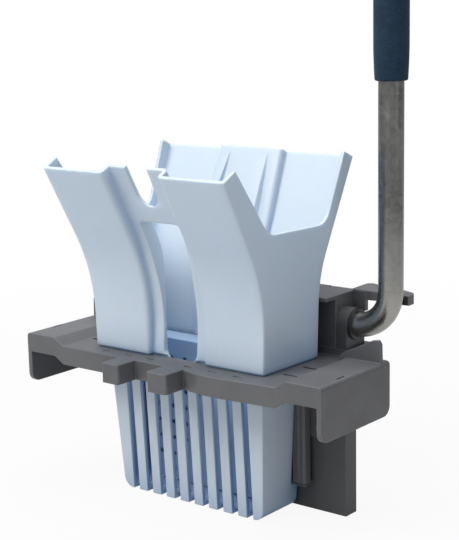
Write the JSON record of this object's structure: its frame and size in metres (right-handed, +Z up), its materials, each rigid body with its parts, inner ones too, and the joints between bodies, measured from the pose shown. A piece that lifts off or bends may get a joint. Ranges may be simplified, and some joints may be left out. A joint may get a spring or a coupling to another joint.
{
  "type": "mop wringer",
  "caption": "Side press wringer for a mop bucket: flared funnel, slotted basket, hooked frame and an upright lever that drives a press plate.",
  "frame": {"origin": "Middle of the basket floor, on the plane that the basket and the back plate stand on.", "axes": "+Z up, +X to the side that carries the upright lever, +Y from the flared front towards the hinge housing."},
  "size_m": [0.3048, 0.1888, 0.468],
  "materials": {
    "plastic_pale": "moulded pale blue-grey plastic with a soft sheen",
    "plastic_dark": "moulded dark grey plastic with a fine grain",
    "plastic_black": "smooth black bearing plastic",
    "rubber_black": "matt rubber",
    "grip_foam": "dark navy foam sleeve with fine pores",
    "steel_galvanised": "zinc plated, slightly dull",
    "steel_dark": "plain steel",
    "steel_bright": "bright zinc plate",
    "brass_drive": "cut and lightly oiled"
  },
  "bodies": {
    "base": {"frame": "plastic_dark", "funnel_front": "plastic_pale", "funnel_back": "plastic_pale", "funnel_end_left": "plastic_pale", "funnel_end_right": "plastic_pale", "basket": "plastic_pale", "mechanism_box": "plastic_dark", "rail_left": "plastic_dark", "rail_right": "plastic_dark", "back_plate": "plastic_dark", "rear_cover": "plastic_dark", "housing": "plastic_dark", "bearing_block_left": "plastic_dark", "bearing_block_right": "plastic_dark", "bush_left": "plastic_black", "bush_right": "plastic_black", "lever_rest": "plastic_dark", "rest_buffer": "rubber_black", "basket_screws": "steel_bright", "box_screws": "steel_bright", "plate_screws": "steel_bright", "cover_screws": "steel_bright", "housing_screws": "steel_bright", "block_screws": "steel_bright", "rest_screws": "steel_bright", "spring_left": "steel_bright", "spring_right": "steel_bright"},
    "lever": {"lever_tube": "steel_galvanised", "lever_grip": "grip_foam", "pinion_left": "brass_drive", "pinion_right": "brass_drive", "pinion_pins": "steel_bright", "end_plug": "plastic_black", "thrust_washers": "plastic_black", "retaining_ring": "steel_bright"},
    "slide": {"drive_slide": "steel_galvanised", "rack_left": "brass_drive", "rack_right": "brass_drive", "rack_rivets": "steel_bright", "drive_pins": "steel_bright"},
    "press": {"press_plate": "plastic_pale"}
  },
  "joints": [
    {"name": "lever_swing", "type": "hinge", "parent": "base", "child": "lever", "pos_m": [0, 0.063, 0.149], "axis": [1, 0, 0], "range_deg": [0, 70]},
    {"name": "slide_drop", "type": "slide", "parent": "base", "child": "slide", "axis": [0, 0, -1], "range_m": [0, 0.0165], "stiffness_N_per_m": 3000, "springref_m": -0.004, "deforming": ["spring_left", "spring_right"]},
    {"name": "press_travel", "type": "slide", "parent": "base", "child": "press", "axis": [0, -1, 0], "range_m": [0, 0.0165]}
  ],
  "couplings": [
    {"joint": "slide_drop", "follows": "lever_swing", "m_per_rad": 0.0135},
    {"joint": "press_travel", "follows": "lever_swing", "m_per_rad": 0.0135}
  ]
}
